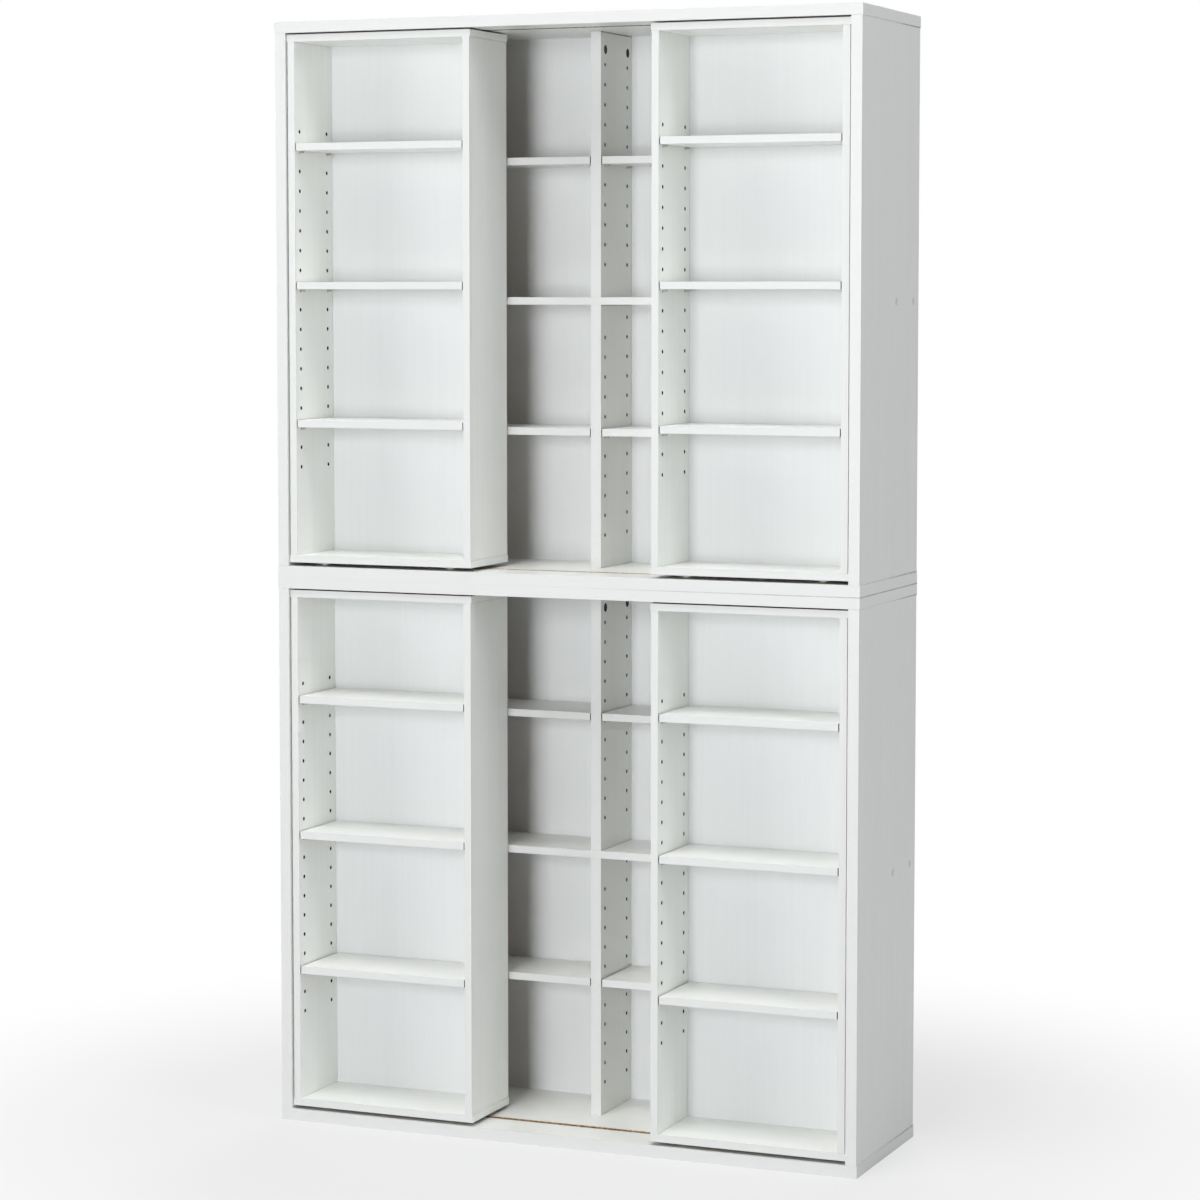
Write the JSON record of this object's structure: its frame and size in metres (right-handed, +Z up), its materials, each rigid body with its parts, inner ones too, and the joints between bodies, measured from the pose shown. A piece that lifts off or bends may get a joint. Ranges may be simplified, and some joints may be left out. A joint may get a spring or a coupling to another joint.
{
  "type": "sliding double bookcase",
  "caption": "White board bookcase of stacked units: narrow racks slide sideways in front of fixed rear bays, with loose shelves on pins and thin back panels.",
  "frame": {"origin": "middle of the underside of the lower unit's base board, on the floor", "axes": "+Z up, +X to the right seen from the front, so the open front faces -Y and the back panels face +Y"},
  "size_m": [1, 0.29, 1.8],
  "materials": {
    "melamine_board": "white melamine foil with a fine raised grain, satin",
    "back_panel_board": "thin white faced board, satin",
    "nylon": "moulded nylon, matt"
  },
  "bodies": {
    "cases": {"lower_case_top_board": "melamine_board", "lower_case_base_board": "melamine_board", "lower_case_left_side": "melamine_board", "lower_case_right_side": "melamine_board", "lower_case_back_panel": "back_panel_board", "lower_case_fixed_shelf": "melamine_board", "lower_case_partition_above": "melamine_board", "lower_case_partition_below": "melamine_board", "lower_rear_shelf_left_above": "melamine_board", "lower_rear_shelf_left_below": "melamine_board", "lower_rear_shelf_right_above": "melamine_board", "lower_rear_shelf_right_below": "melamine_board", "upper_case_top_board": "melamine_board", "upper_case_base_board": "melamine_board", "upper_case_left_side": "melamine_board", "upper_case_right_side": "melamine_board", "upper_case_back_panel": "back_panel_board", "upper_case_fixed_shelf": "melamine_board", "upper_case_partition_above": "melamine_board", "upper_case_partition_below": "melamine_board", "upper_rear_shelf_left_above": "melamine_board", "upper_rear_shelf_left_below": "melamine_board", "upper_rear_shelf_right_above": "melamine_board", "upper_rear_shelf_right_below": "melamine_board"},
    "lower_left_rack": {"lower_left_rack_top_board": "melamine_board", "lower_left_rack_base_board": "melamine_board", "lower_left_rack_left_side": "melamine_board", "lower_left_rack_right_side": "melamine_board", "lower_left_rack_back_panel": "back_panel_board", "lower_left_rack_shelf_1": "melamine_board", "lower_left_rack_shelf_2": "melamine_board", "lower_left_rack_shelf_3": "melamine_board", "lower_left_rack_glide_frame": "nylon"},
    "lower_right_rack": {"lower_right_rack_top_board": "melamine_board", "lower_right_rack_base_board": "melamine_board", "lower_right_rack_left_side": "melamine_board", "lower_right_rack_right_side": "melamine_board", "lower_right_rack_back_panel": "back_panel_board", "lower_right_rack_shelf_1": "melamine_board", "lower_right_rack_shelf_2": "melamine_board", "lower_right_rack_shelf_3": "melamine_board", "lower_right_rack_glide_frame": "nylon"},
    "upper_left_rack": {"upper_left_rack_top_board": "melamine_board", "upper_left_rack_base_board": "melamine_board", "upper_left_rack_left_side": "melamine_board", "upper_left_rack_right_side": "melamine_board", "upper_left_rack_back_panel": "back_panel_board", "upper_left_rack_shelf_1": "melamine_board", "upper_left_rack_shelf_2": "melamine_board", "upper_left_rack_shelf_3": "melamine_board", "upper_left_rack_glide_frame": "nylon"},
    "upper_right_rack": {"upper_right_rack_top_board": "melamine_board", "upper_right_rack_base_board": "melamine_board", "upper_right_rack_left_side": "melamine_board", "upper_right_rack_right_side": "melamine_board", "upper_right_rack_back_panel": "back_panel_board", "upper_right_rack_shelf_1": "melamine_board", "upper_right_rack_shelf_2": "melamine_board", "upper_right_rack_shelf_3": "melamine_board", "upper_right_rack_glide_frame": "nylon"}
  },
  "joints": [
    {"name": "lower_left_rack_slide", "type": "slide", "parent": "cases", "child": "lower_left_rack", "axis": [1, 0, 0], "range_m": [0, 0.153]},
    {"name": "lower_right_rack_slide", "type": "slide", "parent": "cases", "child": "lower_right_rack", "axis": [1, 0, 0], "range_m": [-0.153, 0]},
    {"name": "upper_left_rack_slide", "type": "slide", "parent": "cases", "child": "upper_left_rack", "axis": [1, 0, 0], "range_m": [0, 0.153]},
    {"name": "upper_right_rack_slide", "type": "slide", "parent": "cases", "child": "upper_right_rack", "axis": [1, 0, 0], "range_m": [-0.153, 0]}
  ]
}
